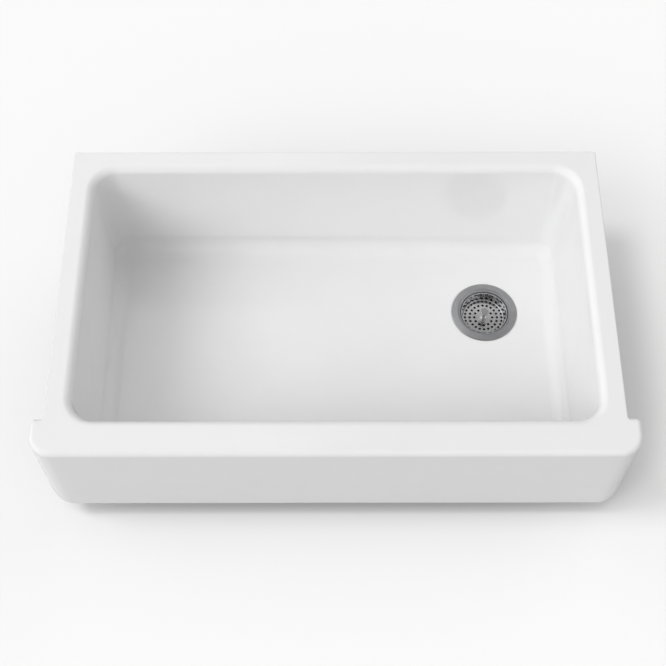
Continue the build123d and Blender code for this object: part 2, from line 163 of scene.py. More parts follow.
@dataclass(frozen=True)
class VitreousEnamel(Finish):
    """White vitreous enamel: powdered glass sifted on to red-hot cast iron, where it melts and flows.

    The eye sees a bright neutral white under a clear glass gloss, faint flow waves in what it
    reflects, a fine peel like that of an orange, and a greyer tone where it runs thin over tight edges.
    """

    name: str = "vitreous_enamel_white"
    white: str = "#F1F1F1"
    deep: str = "#EDEDED"
    thin: str = "#DFDFDF"
    flow_mm: float = 70.0
    flow_height_mm: float = 1.2
    flow_depth: float = 0.25
    peel_mm: float = 5.0  # the real one is about 2 mm, drawn coarser so that it shows
    peel_height_mm: float = 0.1
    peel_depth: float = 0.07
    pinhole_mm: float = 34.0  # the glass has one small grey point in each patch of this size
    pinhole_edge: Pair = (0.012, 0.02)  # where it is full and where it ends, as shares of the patch
    pinhole_grey: float = 0.35
    roughness: Pair = (0.07, 0.13)
    ior: float = 1.52

    def paint(self, tree: Tree) -> Socket:
        """Adds the enamel's nodes.

        Args:
            tree: the material's node tree.

        Returns:
            The shader's output.
        """
        place = add_node(tree, "ShaderNodeTexCoord").outputs["Object"]
        flow, peel = (
            add_node(tree, "ShaderNodeTexNoise", {"Vector": place, "Scale": per_mm(size), "Detail": detail})
            for size, detail in ((self.flow_mm, 3.0), (self.peel_mm, 2.0)))
        patches = add_node(tree, "ShaderNodeTexVoronoi", {
            "Vector": place, "Scale": per_mm(self.pinhole_mm)})
        pin = add_node(tree, "ShaderNodeMapRange", {
            "Value": patches.outputs["Distance"], "From Min": self.pinhole_edge[0],
            "From Max": self.pinhole_edge[1], "To Min": self.pinhole_grey, "To Max": 0.0})
        edge = add_node(tree, "ShaderNodeAttribute", attribute_name="thin_glass")
        patchy = add_node(tree, "ShaderNodeMath", {
            0: edge.outputs["Fac"], 1: peel.outputs["Fac"]}, operation="MULTIPLY")
        colour = linear(self.white)
        for factor, tone in (
            (flow.outputs["Fac"], self.deep), (pin.outputs["Result"], self.thin),
            (patchy.outputs["Value"], self.thin),
        ):
            colour = add_node(tree, "ShaderNodeMix", {
                "Factor": factor, "A": colour, "B": linear(tone)}, data_type="RGBA").outputs["Result"]
        gloss = add_node(tree, "ShaderNodeMapRange", {
            "Value": flow.outputs["Fac"], "To Min": self.roughness[0], "To Max": self.roughness[1]})
        waves = add_node(tree, "ShaderNodeBump", {
            "Height": flow.outputs["Fac"], "Strength": self.flow_depth,
            "Distance": self.flow_height_mm * MM})
        skin = add_node(tree, "ShaderNodeBump", {
            "Height": peel.outputs["Fac"], "Strength": self.peel_depth,
            "Distance": self.peel_height_mm * MM, "Normal": waves.outputs["Normal"]})
        glass = add_node(tree, "ShaderNodeBsdfPrincipled", {
            "Base Color": colour, "Roughness": gloss.outputs["Result"], "IOR": self.ior,
            "Normal": skin.outputs["Normal"]})
        return glass.outputs["BSDF"]


@dataclass(frozen=True)
class GroundCoat(Finish):
    """Thin grey ground coat, sprayed on sand-cast iron that isn't seen once the sink is built in.

    The eye sees a dull grey skin over a coarse sand grain, with paler drifts of enamel dust.
    """

    name: str = "ground_coat_grey"
    grey: str = "#A5A6A4"
    dark: str = "#8F908E"
    dust: str = "#BDBCB8"
    grain_mm: float = 2.5
    grain_height_mm: float = 0.3
    lump_mm: float = 18.0
    lump_height_mm: float = 0.8
    bump_depth: float = 0.5
    drift_mm: float = 110.0
    drift_edge: Pair = (0.4, 0.75)  # where in the pattern the dust starts and is thickest
    drift_most: float = 0.5
    roughness: float = 0.72
    ior: float = 1.5

    def paint(self, tree: Tree) -> Socket:
        """Adds the ground coat's nodes.

        Args:
            tree: the material's node tree.

        Returns:
            The shader's output.
        """
        place = add_node(tree, "ShaderNodeTexCoord").outputs["Object"]
        grain, lumps, drift = (
            add_node(tree, "ShaderNodeTexNoise", {"Vector": place, "Scale": per_mm(size), "Detail": detail})
            for size, detail in ((self.grain_mm, 4.0), (self.lump_mm, 3.0), (self.drift_mm, 5.0)))
        dusting = add_node(tree, "ShaderNodeMapRange", {
            "Value": drift.outputs["Fac"], "From Min": self.drift_edge[0], "From Max": self.drift_edge[1],
            "To Min": 0.0, "To Max": self.drift_most})
        colour = linear(self.dark)
        for factor, tone in ((lumps.outputs["Fac"], self.grey), (dusting.outputs["Result"], self.dust)):
            colour = add_node(tree, "ShaderNodeMix", {
                "Factor": factor, "A": colour, "B": linear(tone)}, data_type="RGBA").outputs["Result"]
        cast = add_node(tree, "ShaderNodeBump", {
            "Height": lumps.outputs["Fac"], "Strength": self.bump_depth,
            "Distance": self.lump_height_mm * MM})
        sand = add_node(tree, "ShaderNodeBump", {
            "Height": grain.outputs["Fac"], "Strength": self.bump_depth,
            "Distance": self.grain_height_mm * MM, "Normal": cast.outputs["Normal"]})
        skin = add_node(tree, "ShaderNodeBsdfPrincipled", {
            "Base Color": colour, "Roughness": self.roughness, "IOR": self.ior,
            "Normal": sand.outputs["Normal"]})
        return skin.outputs["BSDF"]


@dataclass(frozen=True)
class MarkedFinish(Finish):
    """What metals and seals share: tone and roughness follow a soft pattern, under a finer one's relief."""

    light: str
    dark: str
    roughness: float
    depth: float
    grain_mm: float
    patch_mm: float
    height_mm: float = 0.2
    spread: Pair | None = None  # least and most share of the roughness, if it isn't even
    ior: float | None = None  # None for a metal

    def paint(self, tree: Tree) -> Socket:
        """Adds the finish's nodes.

        Args:
            tree: the material's node tree.

        Returns:
            The shader's output.
        """
        place = add_node(tree, "ShaderNodeTexCoord").outputs["Object"]
        patch, grain = (
            add_node(tree, "ShaderNodeTexNoise", {"Vector": at, "Scale": per_mm(size), "Detail": detail})
            for at, size, detail in (
                (place, self.patch_mm, 4.0), (self.laid(tree, place), self.grain_mm, 3.0)))
        tone = add_node(tree, "ShaderNodeMix", {
            "Factor": patch.outputs["Fac"], "A": linear(self.light), "B": linear(self.dark)},
            data_type="RGBA")
        relief = add_node(tree, "ShaderNodeBump", {
            "Height": grain.outputs["Fac"], "Strength": self.depth, "Distance": self.height_mm * MM})
        dull = self.roughness
        if self.spread:
            least, most = (share * self.roughness for share in self.spread)
            dull = add_node(tree, "ShaderNodeMapRange", {
                "Value": patch.outputs["Fac"], "To Min": least, "To Max": most}).outputs["Result"]
        kind = {"IOR": self.ior} if self.ior else {"Metallic": 1.0}
        skin = add_node(tree, "ShaderNodeBsdfPrincipled", {
            "Base Color": self.covered(tree, place, tone.outputs["Result"]), "Roughness": dull,
            "Normal": relief.outputs["Normal"], **kind})
        return skin.outputs["BSDF"]

    def laid(self, tree: Tree, place: Socket) -> Socket:
        """Where the finer pattern is read: here at the plain place."""
        return place

    def covered(self, tree: Tree, place: Socket, tone: Socket) -> Socket:
        """The tone with what lies on it: here nothing."""
        return tone


@dataclass(frozen=True)
class TurnedSteel(MarkedFinish):
    """Stainless steel that was turned or spun, then polished on the lathe.

    The eye sees fine rings round the drain's axis, which stretch each highlight across them, and a
    slight cloudiness from handling.
    """

    light: str = "#ACACAE"
    dark: str = "#9C9C9E"
    roughness: float = 0.2
    depth: float = 0.06
    grain_mm: float = 1.1  # lathe marks are about 0.1 mm apart, drawn coarser so that they show
    patch_mm: float = 14.0
    spread: Pair | None = (0.7, 1.3)
    # Painted shade: the steel below the flange's seat is darkened, because the cup's inside lies in shade
    cup_shade: bool = False
    cup_shade_colour: str = "#2B2A28"
    cup_shade_levels: Pair = (-236.0, -241.0)  # where the painted shade starts and is full
    cup_shade_most: float = 0.85
    axis: Pair = DRAIN

    def laid(self, tree: Tree, place: Socket) -> Socket:
        """Lays the lathe marks in rings round the axis.

        Args:
            tree: the material's node tree.
            place: output with the place on the part.

        Returns:
            The output with the place in the rings' pattern.
        """
        middle = (self.axis[0] * MM, self.axis[1] * MM, 0.0)
        about = add_node(tree, "ShaderNodeVectorMath", {0: place, 1: middle}, operation="SUBTRACT")
        flat = add_node(tree, "ShaderNodeVectorMath", {
            0: about.outputs["Vector"], 1: (1.0, 1.0, 0.0)}, operation="MULTIPLY")
        radius = add_node(tree, "ShaderNodeVectorMath", {0: flat.outputs["Vector"]}, operation="LENGTH")
        height = add_node(tree, "ShaderNodeSeparateXYZ", {"Vector": place})
        return add_node(tree, "ShaderNodeCombineXYZ", {
            "X": radius.outputs["Value"], "Z": height.outputs["Z"]}).outputs["Vector"]

    def covered(self, tree: Tree, place: Socket, tone: Socket) -> Socket:
        """Lays painted shade: a dark colour over the lower part of the steel, below the flange's seat,
        where the drain's cup lies in shade, if it has one.

        Args:
            tree: the material's node tree.
            place: output with the place on the part.
            tone: output with the clean colour.

        Returns:
            The output with the colour and its painted shade.
        """
        if not self.cup_shade:
            return tone
        # Painted shade: darker further down the cup, and at its darkest below the lower level
        start, full = self.cup_shade_levels
        height = add_node(tree, "ShaderNodeSeparateXYZ", {"Vector": place})
        shade_share = add_node(tree, "ShaderNodeMapRange", {
            "Value": height.outputs["Z"], "From Min": start * MM, "From Max": full * MM, "To Min": 0.0,
            "To Max": self.cup_shade_most})
        return add_node(tree, "ShaderNodeMix", {
            "Factor": shade_share.outputs["Result"], "A": tone, "B": linear(self.cup_shade_colour)},
            data_type="RGBA").outputs["Result"]


@dataclass(frozen=True)
class PlatedBrass(MarkedFinish):
    """Brass with a bright electroplated coat: chrome on the tube and its nut, dull nickel on the locknut.

    The eye sees a bluish or yellowish mirror whose roughness says how well the brass was polished first.
    """

    light: str = "#D5D6D8"
    dark: str = "#BDBEC1"
    roughness: float = 0.08
    depth: float = 0.05
    grain_mm: float = 1.6
    patch_mm: float = 12.0
    spread: Pair | None = (0.6, 1.4)


@dataclass(frozen=True)
class SoftPart(MarkedFinish):
    """Moulded rubber, putty or pressed fibre: dull parts that seal, each with its own grain.

    The eye sees an even matt colour, with a bloom of dust on rubber, thumb marks in putty and fibres.
    """

    light: str = "#1E1E1F"
    dark: str = "#37373A"
    roughness: float = 0.62
    depth: float = 0.15
    grain_mm: float = 1.2
    patch_mm: float = 9.0
    height_mm: float = 0.3
    ior: float | None = 1.5


def line(start: Pair, end: Pair, count: int) -> Points:
    """Points along a straight run in plan, with its start and without its end."""
    share = np.arange(count)[:, None] / count
    return np.array(start) + (np.array(end) - np.array(start)) * share


def arc(middle: Pair, radius: float, first: float, last: float, count: int) -> Points:
    """Points along an arc in plan from the first angle, in degrees, to the last, which it leaves out."""
    turn = np.radians(first + (last - first) * np.arange(count) / count)
    return np.array(middle) + radius * np.stack([np.cos(turn), np.sin(turn)], axis=1)


def whole(half: Points) -> Points:
    """A closed ring in plan from its right half, mirrored to the left."""
    return np.concatenate([half, half[-2:0:-1] * (-1, 1)])


def level(plan: Points, height: float | Points) -> Points:
    """Points in space from points in plan and their height or heights."""
    return np.column_stack([plan, np.broadcast_to(height, len(plan))])


def between(start: Points, end: Points, height: float, shares: Iterable[float]) -> list[Points]:
    """Rings at one height, each at a share of the way from one outline in plan to another."""
    return [level(start + (end - start) * share, height) for share in shares]


def quads(near: Sequence[int], far: Sequence[int], closed: bool) -> list[Face]:
    """Faces that join two rows of points.

    Args:
        near: numbers of one row's points.
        far: numbers of as many points of the other.
        closed: whether the rows are rings.

    Returns:
        A face for each step along the rows.
    """
    count = len(near)
    return [
        (near[place], near[(place + 1) % count], far[(place + 1) % count], far[place])
        for place in range(count if closed else count - 1)
    ]


@dataclass
class Net:
    """Points, faces and coats of a mesh while it is built."""

    points: list[Points] = field(default_factory=list)
    faces: list[Face] = field(default_factory=list)
    coats: list[int] = field(default_factory=list)

    def add_row(self, row: Points) -> range:
        """Adds a row of points.

        Args:
            row: the points.

        Returns:
            Their numbers.
        """
        start = sum(len(part) for part in self.points)
        self.points.append(row)
        return range(start, start + len(row))

    def cover(self, faces: list[Face], coat: Coat) -> None:
        """Adds faces that have the same coat."""
        self.faces += faces
        self.coats += [coat.value] * len(faces)


@dataclass(frozen=True)
class Stations:
    """How many points each run of a ring has. Every ring has the same, so that all of them join."""

    along: int = 42
    bend: int = 9
    crease: int = 3
    corner: int = 12  # bend and crease
    ear_side: int = 3
    ear_corner: int = 6
    ear_back: int = 2
    ear: int = 23  # from the start of the apron's corner to the ear's end
    tongue: int = 65  # from the middle of the apron to the ear's end
    nook: int = 4
    side: int = 48
    beside: int = 10  # those of the side that face the bowl's front corner


RUN = Stations()


@dataclass(frozen=True)
class Rim:
    """Plan outline of apron, ears and deck: half widths, edges and corner radii."""

    apron: float = 453.25
    front: float = -30.5
    front_round: float = 35.0
    ear_back: float = 30.5
    ear_round: float = 8.5
    deck: float = 433.5
    nook_round: float = 3.0
    back: float = 517.2
    back_round: float = 3.0

    def inset(self, apron: float, deck: float) -> "Rim":
        """The outline drawn in.

        Args:
            apron: distance along the apron and its ears.
            deck: distance along the deck.

        Returns:
            The smaller outline.
        """
        least_round = 0.4
        return Rim(
            apron=self.apron - apron, front=self.front + apron, front_round=self.front_round - apron,
            ear_back=self.ear_back - apron, ear_round=max(self.ear_round - apron, least_round),
            deck=self.deck - deck, nook_round=self.nook_round + (apron + deck) / 2,
            back=self.back - deck, back_round=max(self.back_round - deck, least_round))

    def half(self) -> Points:
        """The right half of the outline.

        Returns:
            Its points in plan, from the middle of the front to the middle of the back.
        """
        apron, front, deck, back, nook = self.apron, self.front, self.deck, self.back, self.nook_round
        bend, ear, ear_round, corner = self.front_round, self.ear_back, self.ear_round, self.back_round
        return np.concatenate([
            line((0, front), (apron - bend, front), RUN.along),
            arc((apron - bend, front + bend), bend, -90, 0, RUN.corner),
            line((apron, front + bend), (apron, ear - ear_round), RUN.ear_side),
            arc((apron - ear_round, ear - ear_round), ear_round, 0, 90, RUN.ear_corner),
            line((apron - ear_round, ear), (deck + nook, ear), RUN.ear_back),
            arc((deck + nook, ear + nook), nook, 270, 180, RUN.nook),
            line((deck, ear + nook), (deck, back - corner), RUN.side),
            arc((deck - corner, back - corner), corner, 0, 90, RUN.corner),
            line((deck - corner, back), (0, back), RUN.along),
            [(0, back)],
        ])


@dataclass
class Casting:
    """The enamelled iron casting: bowl, deck, rolled rim, apron with its ears, and cast feet.

    Its surface is a closed net of rings. Each ring has the same stations round the bowl, and the rings
    go up the drain hole, over the floor, wall and deck, down the outside and back under the floor.
    """

    rim: Rim = field(default_factory=Rim)
    iron: float = 8.0
    deck_iron: float = 8.5
    skirt: float = 24.0
    skirt_levels: Pair = (13.0, 18.0)  # rings between the deck's round edge and the skirt's lower edge
    hem: float = 1.4  # how far the skirt's lowest ring lies above its lower edge
    apron_height: float = 193.7
    low_round: float = 48.0
    top_round: float = 8.0
    deck_round: float = 2.0
    bottom_round: float = 3.0
    under_round: float = 3.5
    fillet: float = 5.0
    crease: float = 3.0
    return_end: float = 420.25
    bowl_half: Pair = (396.5, 225.85)
    bowl_corner: float = 38.0
    bowl_middle: float = 254.35
    roll: float = 13.0
    draft: float = 2.5
    cove: float = 26.0
    floor_level: float = -228.6
    fall: Pair = (0.4, 0.3)
    drain: Pair = DRAIN
    seat_level: float = -231.692
    seat_radius: float = 58.5
    seat_edge: float = 0.5
    hole_radius: float = 46.0
    hole_bevel: float = 0.7
    underside: float = -240.692
    foot_level: float = -244.692
    foot_height: float = 4.0
    foot_radius: float = 26.0
    foot_sides: int = 48
    foot_x: float = 330.5
    foot_y: Pair = (94.5, 414.2)
    wave_mm: float = 0.22
    calm_radius: float = 65.0  # no waves within this distance of the drain, where the flange lies flat
    calm_fade: float = 60.0

    @property
    def slope(self) -> float:
        """How far the bowl's wall leans outward for each millimetre up."""
        return tan(radians(self.draft))

    @property
    def cove_level(self) -> float:
        """Level of the middle of the cove's round, before the floor's fall."""
        return self.floor_level + self.cove

    @property
    def cove_middle(self) -> float:
        """How far outward of the bowl's outline at the deck the middle of the cove's round lies."""
        return self.cove_level * self.slope - self.across(self.cove)

    @property
    def roll_middle(self) -> float:
        """How far outward of the bowl's outline at the deck the middle of the rolled edge lies."""
        return self.across(self.roll) - self.roll * self.slope

    def across(self, radius: float) -> float:
        """Level distance from the leaning wall to the middle of a round that touches it."""
        return radius / cos(radians(self.draft))

    def bowl_ring(self, outward: float) -> Points:
        """The bowl's outline in plan, grown outward by a distance from its size at the deck.

        Args:
            outward: how far it is grown, or drawn in if negative.

        Returns:
            The points of the whole ring.
        """
        wide, deep = (half + outward for half in self.bowl_half)
        radius, middle = self.bowl_corner + outward, self.bowl_middle
        near, far = (wide - radius, middle - deep + radius), (wide - radius, middle + deep - radius)
        # The near corner's stations are spread so that no line across the deck leaves it at the nook
        return whole(np.concatenate([
            line((0, middle - deep), (wide - radius, middle - deep), RUN.along),
            arc(near, radius, -90, -62, RUN.ear),
            arc(near, radius, -62, -45, RUN.nook),
            arc(near, radius, -45, 0, RUN.beside),
            line((wide, near[1]), (wide, far[1]), RUN.side - RUN.beside),
            arc(far, radius, 0, 90, RUN.corner),
            line((wide - radius, middle + deep), (0, middle + deep), RUN.along),
            [(0, middle + deep)],
        ]))

    def floor_height(self, plan: Points) -> Points:
        """Heights of the sloping floor at points in plan."""
        fall_x, fall_y = (tan(radians(angle)) for angle in self.fall)
        return self.floor_level - fall_x * plan[:, 0] - fall_y * (plan[:, 1] - self.bowl_middle)

    def drain_ring(self, radius: float) -> Points:
        """A circle round the drain in plan, each station on the line to its place on the floor's edge."""
        toward = self.bowl_ring(-self.cove - self.iron) - self.drain
        return self.drain + radius * toward / np.linalg.norm(toward, axis=1)[:, None]

    def wall_ring(self, outward: Points, height: Points) -> Points:
        """A ring of the bowl's wall, whose distance outward and height change from station to station."""
        still, grown = self.bowl_ring(0.0), self.bowl_ring(1.0)
        return level(still + (grown - still) * outward[:, None], height)

    def drain_and_floor(self) -> list[Points]:
        """Rings up the drain hole, over the flange's seat and out to the floor's edge.

        Returns:
            The rings in order.
        """
        hole, wide, seat, under = self.hole_radius, self.seat_radius, self.seat_level, self.underside
        # Radius and level: the hole has a bevel below and a small round above
        profile = (
            (hole + self.hole_bevel, under), (hole, under + 0.9), (hole, seat - 1.2),
            (hole + 0.4, seat - 0.3), (hole + 1.2, seat), (wide - 6, seat), (wide - 0.4, seat))
        rings = [level(self.drain_ring(radius), height) for radius, height in profile]
        # The seat's edge: how far outward, and the share of the way up to the floor
        for outward, share in ((0.0, 0.3), (0.15, 0.75), (self.seat_edge, 1.0)):
            ring = self.drain_ring(wide + outward)
            rings.append(level(ring, seat + share * (self.floor_height(ring) - seat)))
        near, far = self.drain_ring(wide + self.seat_edge), self.bowl_ring(self.cove_middle)
        for share in np.linspace(0, 1, 26)[1:]:
            ring = near + (far - near) * share
            rings.append(level(ring, self.floor_height(ring)))
        return rings

    def wall(self) -> list[Points]:
        """Rings up the cove, the bowl's wall and its rolled edge to the start of the deck.

        Returns:
            The rings in order.
        """
        rings = []
        tilt = self.floor_height(self.bowl_ring(self.cove_middle)) - self.floor_level
        for turn in np.linspace(-90, -self.draft, 15)[1:]:
            ring = self.bowl_ring(self.cove_middle + self.cove * cos(radians(turn)))
            rings.append(level(ring, self.cove_level + self.cove * sin(radians(turn)) + tilt))
        low = self.cove_level - self.cove * sin(radians(self.draft)) + tilt
        high = self.roll * sin(radians(self.draft)) - self.roll
        for share in np.linspace(0, 1, 18)[1:-1]:
            height = low + (high - low) * share
            rings.append(self.wall_ring((height - tilt * (1 - share)) * self.slope, height))
        for turn in np.linspace(90 - self.draft, 0, 13):
            ring = self.bowl_ring(self.roll_middle - self.roll * sin(radians(turn)))
            rings.append(level(ring, self.roll * (cos(radians(turn)) - 1)))
        return rings

    def deck(self) -> list[Points]:
        """Rings from the deck over its edge and down to the skirt's lower edge.

        Returns:
            The rings in order.
        """
        end = whole(self.rim.inset(self.top_round, self.deck_round).half())
        rings = between(self.bowl_ring(self.roll_middle), end, 0.0, (0.03, 0.2, 0.4, 0.6, 0.8, 0.97))
        depths = {self.top_round * (1 - cos(radians(turn))) for turn in range(0, 91, 9)}
        depths |= {self.deck_round * (1 - cos(radians(turn))) for turn in range(15, 91, 15)}
        for depth in sorted(depths):
            rings.append(level(whole(self.edge(depth).half()), -depth))
        for depth in (*self.skirt_levels, self.skirt - self.hem):
            rings.append(level(whole(self.rim.half()), -depth))
        return rings

    def edge(self, depth: float) -> Rim:
        """The rim's outline inside its rounded top edges.

        Args:
            depth: how far below the deck.

        Returns:
            The outline there.
        """
        drawn = [
            radius - sqrt(max(radius ** 2 - (radius - min(depth, radius)) ** 2, 0))
            for radius in (self.top_round, self.deck_round)
        ]
        return self.rim.inset(*drawn)

    def inner_rim(self, inset: float) -> Rim:
        """The outline of the iron's inner face.

        Args:
            inset: how much further in it lies, where the face turns in under the deck.

        Returns:
            The outline.
        """
        wall, rim = self.iron + inset, self.rim
        return Rim(
            apron=rim.apron - wall, front=rim.front + wall, front_round=rim.front_round - wall,
            ear_back=rim.ear_back - wall, ear_round=4.0, deck=rim.deck - wall, nook_round=6.0,
            back=rim.back - wall, back_round=5.0)

    def under(self) -> list[Points]:
        """Rings from the skirt's lower edge, up inside it and under the deck to the bowl's outside.

        Returns:
            The rings in order.
        """
        depths = (self.skirt - self.hem, self.skirt_levels[1])
        rings = [level(whole(self.inner_rim(0).half()), -depth) for depth in depths]
        for turn in (0, 30, 60, 90):
            plan = whole(self.inner_rim(self.under_round * (1 - cos(radians(turn)))).half())
            rings.append(level(plan, -self.deck_iron - self.under_round * (1 - sin(radians(turn)))))
        end = self.bowl_ring(self.iron + self.fillet)
        rings += between(rings[-1][:, :2], end, -self.deck_iron, (0.2, 0.5, 0.8, 1.0))
        for turn in (30, 60, 90):
            outward = self.iron + self.fillet * (1 - sin(radians(turn)))
            height = -self.deck_iron - self.fillet * (1 - cos(radians(turn)))
            rings.append(level(self.bowl_ring(outward), height))
        return rings

    def outside(self) -> list[Points]:
        """Rings down the bowl's outside and under its floor to the drain hole.

        Returns:
            The rings in order.
        """
        rings = []
        bend = self.cove + self.iron
        bend_level = self.underside + bend
        bend_middle = self.iron + bend_level * self.slope - self.across(bend)
        top, low = -self.deck_iron - self.fillet, bend_level - bend * sin(radians(self.draft))
        for share in np.linspace(0, 1, 13)[1:]:
            height = top + (low - top) * share
            rings.append(level(self.bowl_ring(self.iron + height * self.slope), height))
        for turn in np.linspace(-self.draft, -90, 13)[1:]:
            plan = self.bowl_ring(bend_middle + bend * cos(radians(turn)))
            rings.append(level(plan, bend_level + bend * sin(radians(turn))))
        end = self.drain_ring(self.hole_radius + self.hole_bevel)
        return rings + between(rings[-1][:, :2], end, self.underside, np.linspace(0, 1, 14)[1:-1])

    def apron_half(self, height: float, wall: float) -> Points:
        """The right half of the apron and its ear in plan at a height.

        Args:
            height: the level of the cut.
            wall: 0 for the outer face, or the iron's thickness for the inner one.

        Returns:
            The points, from the middle of the front to the end of the return behind the ear.
        """
        rim, low, crease = self.rim, self.low_round - wall, self.crease
        least_round, least_return = 2.5, 0.8
        drop = min(max(self.low_round - self.apron_height - height, 0.0), low)
        side = rim.apron - self.low_round + (sqrt(low ** 2 - drop ** 2) if drop else low)
        lift = max(height + self.apron_height, 0.0)
        edge = 0.0 if wall or lift > self.bottom_round else (
            self.bottom_round - sqrt(self.bottom_round ** 2 - (self.bottom_round - lift) ** 2))
        front, back, bend = rim.front + wall + edge, rim.ear_back - wall - edge, rim.front_round - wall
        turn_x, turn_y = rim.apron - wall - bend, front + bend
        # The upright corner is cut off where it meets the round low corner, with a soft crease there
        if side > turn_x:
            last = -np.degrees(np.arccos(min((side - turn_x) / bend, 1.0)))
            stop = max(last - np.degrees(crease / bend), -90.0)
            start, met = turn_x, (side, turn_y + bend * sin(radians(last)))
            before = (turn_x + bend * cos(radians(stop)), turn_y + bend * sin(radians(stop)))
            run = arc((turn_x, turn_y), bend, -90, stop, RUN.bend)
        else:
            start, met, before = side - 2 * crease, (side, front), (side - crease, front)
            run = line((start, front), before, RUN.bend)
        after = (side, met[1] + crease)
        share = np.arange(RUN.crease)[:, None] / RUN.crease
        soft = (
            (1 - share) ** 2 * np.array(before) + 2 * share * (1 - share) * np.array(met)
            + share ** 2 * np.array(after))
        ear_round = max(rim.ear_round - wall / 2 - (rim.apron - wall - side), least_round)
        final = self.return_end if height < -self.skirt - 2 else rim.deck + rim.nook_round
        final = min(final, side - ear_round - least_return)
        return np.concatenate([
            line((0, front), (start, front), RUN.along), run, soft,
            line(after, (side, back - ear_round), RUN.ear_side),
            arc((side - ear_round, back - ear_round), ear_round, 0, 90, RUN.ear_corner),
            line((side - ear_round, back), (final, back), RUN.ear_back),
            [(final, back)],
        ])

    def tongue(self) -> list[list[Points]]:
        """Open rows of the apron below the skirt, down its outer face and down its inner face.

        Returns:
            The rows of each face, as many for both, each with the right half's stations.
        """
        bottom, centre = -self.apron_height, self.low_round - self.apron_height
        inner_bottom = centre - (self.low_round - self.iron)
        sheets = []
        for wall, last in (
            (0.0, (bottom + 0.9, bottom + 0.3, bottom)),
            (self.iron, (inner_bottom - 2.0, bottom + 1.2, bottom + 0.35)),
        ):
            heights = [-self.skirt - 4, -45.0, -70.0, -95.0, -120.0, centre + 4, centre]
            heights += [
                centre - (self.low_round - wall) * sin(radians(turn))
                for turn in (10, 20, 30, 40, 48, 56, 63, 69, 73)
            ]
            sheets.append([level(self.apron_half(height, wall), height) for height in (*heights, *last)])
        return sheets

    def foot(self, x: float, y: float) -> list[Points]:
        """Rings of one cast foot, from inside the floor down to its flat face.

        Args:
            x: place of its middle.
            y: place of its middle.

        Returns:
            The rings in order, with a point at each end.
        """
        wide, flat, tip = self.foot_radius, -self.foot_height, 0.02
        # Radius, and rise from the floor's underside: a fillet at the floor and a round at the flat face
        profile = (
            (tip, 2.5), (wide, 2.5), (wide + 2.6, 0.05), (wide + 0.9, -0.4), (wide + 0.2, -1.2),
            (wide, -2.0), (wide - 0.3, -3.3), (wide - 1.1, -3.85), (wide - 2.2, flat), (wide / 2, flat),
            (tip, flat))
        circle = arc((0, 0), 1.0, 0, 360, self.foot_sides)
        root = self.foot_level + self.foot_height
        return [level(circle * radius + (x, y), root + rise) for radius, rise in profile]

    def build(self) -> bpy.types.Object:
        """Builds the casting as one mesh with its two coats.

        Returns:
            The object, in the scene.
        """
        net = Net()
        shown = self.drain_and_floor() + self.wall() + self.deck()
        rows = [net.add_row(ring) for ring in shown + self.under() + self.outside()]
        hem = len(shown) - 1
        for place, row in enumerate(rows):
            faces = quads(row, rows[(place + 1) % len(rows)], closed=True)
            if place == hem:  # the apron hangs down in place of the front ones
                faces = faces[RUN.tongue:len(row) - RUN.tongue]
            net.cover(faces, Coat.SHOW_ENAMEL if place < hem else Coat.GROUND_COAT)
        self.hang_apron(net, rows[hem:hem + 2])
        for y in self.foot_y:
            for x in (self.foot_x, -self.foot_x):
                rows = [net.add_row(ring) for ring in self.foot(x, y)]
                for high, low in zip(rows, rows[1:]):
                    net.cover(quads(high, low, closed=True), Coat.GROUND_COAT)
                net.cover([tuple(rows[0]), tuple(rows[-1])], Coat.GROUND_COAT)
        return self.finish_mesh(net)

    def hang_apron(self, net: Net, hems: list[range]) -> None:
        """Adds the apron below the skirt, joined to the skirt's two lower rings.

        Args:
            net: the net that it goes into.
            hems: the rings that its outer and its inner face hang from.
        """
        sheets = []
        for rows, hem, coat in zip(self.tongue(), hems, Coat):
            sheet = [[hem[place] for place in range(-RUN.tongue, RUN.tongue + 1)]]
            sheet += [net.add_row(np.concatenate([half[:0:-1] * (-1, 1, 1), half])) for half in rows]
            for high, low in zip(sheet, sheet[1:]):
                net.cover(quads(high, low, closed=False), coat)
            sheets.append(sheet)
        outer, inner = sheets
        net.cover(quads(outer[-1], inner[-1], closed=False), Coat.SHOW_ENAMEL)
        for end in (0, -1):
            faces = quads([row[end] for row in outer], [row[end] for row in inner], closed=False)
            net.cover(faces, Coat.GROUND_COAT)

    def finish_mesh(self, net: Net) -> bpy.types.Object:
        """Makes the mesh, turns its faces outward, and gives the enamel its slight flow waves.

        Args:
            net: the whole net, in millimetres.

        Returns:
            The object, in the scene.
        """
        points = np.concatenate(net.points)
        mesh = bpy.data.meshes.new("enamelled_casting")
        mesh.from_pydata((points * MM).tolist(), [], net.faces)
        mesh.polygons.foreach_set("material_index", net.coats)
        shape = bmesh.new()
        shape.from_mesh(mesh)
        bmesh.ops.recalc_face_normals(shape, faces=shape.faces)
        for face in shape.faces:
            face.smooth = True
        shape.to_mesh(mesh)
        shape.free()
        normals = np.empty(3 * len(mesh.vertices))
        mesh.vertices.foreach_get("normal", normals)
        sunk = self.waves(points)[:, None] * normals.reshape(-1, 3)
        mesh.vertices.foreach_set("co", ((points - sunk) * MM).ravel())
        thin = mesh.attributes.new("thin_glass", "FLOAT", "POINT")
        thin.data.foreach_set("value", self.tight_edges(points))
        mesh.update()
        made = add_object("enamelled_casting", mesh)
        even = made.modifiers.new("even_shading", "WEIGHTED_NORMAL")
        even.keep_sharp = True
        return made

    def waves(self, points: Points) -> Points:
        """How far the glass lies below its highest skin: three crossing waves, still round the drain.

        Args:
            points: all points in millimetres.

        Returns:
            The depth at each point.
        """
        x, y, z = points.T
        from_drain = np.hypot(x - self.drain[0], y - self.drain[1])
        calm = np.clip((from_drain - self.calm_radius) / self.calm_fade, 0, 1) * (z > self.underside + 1)
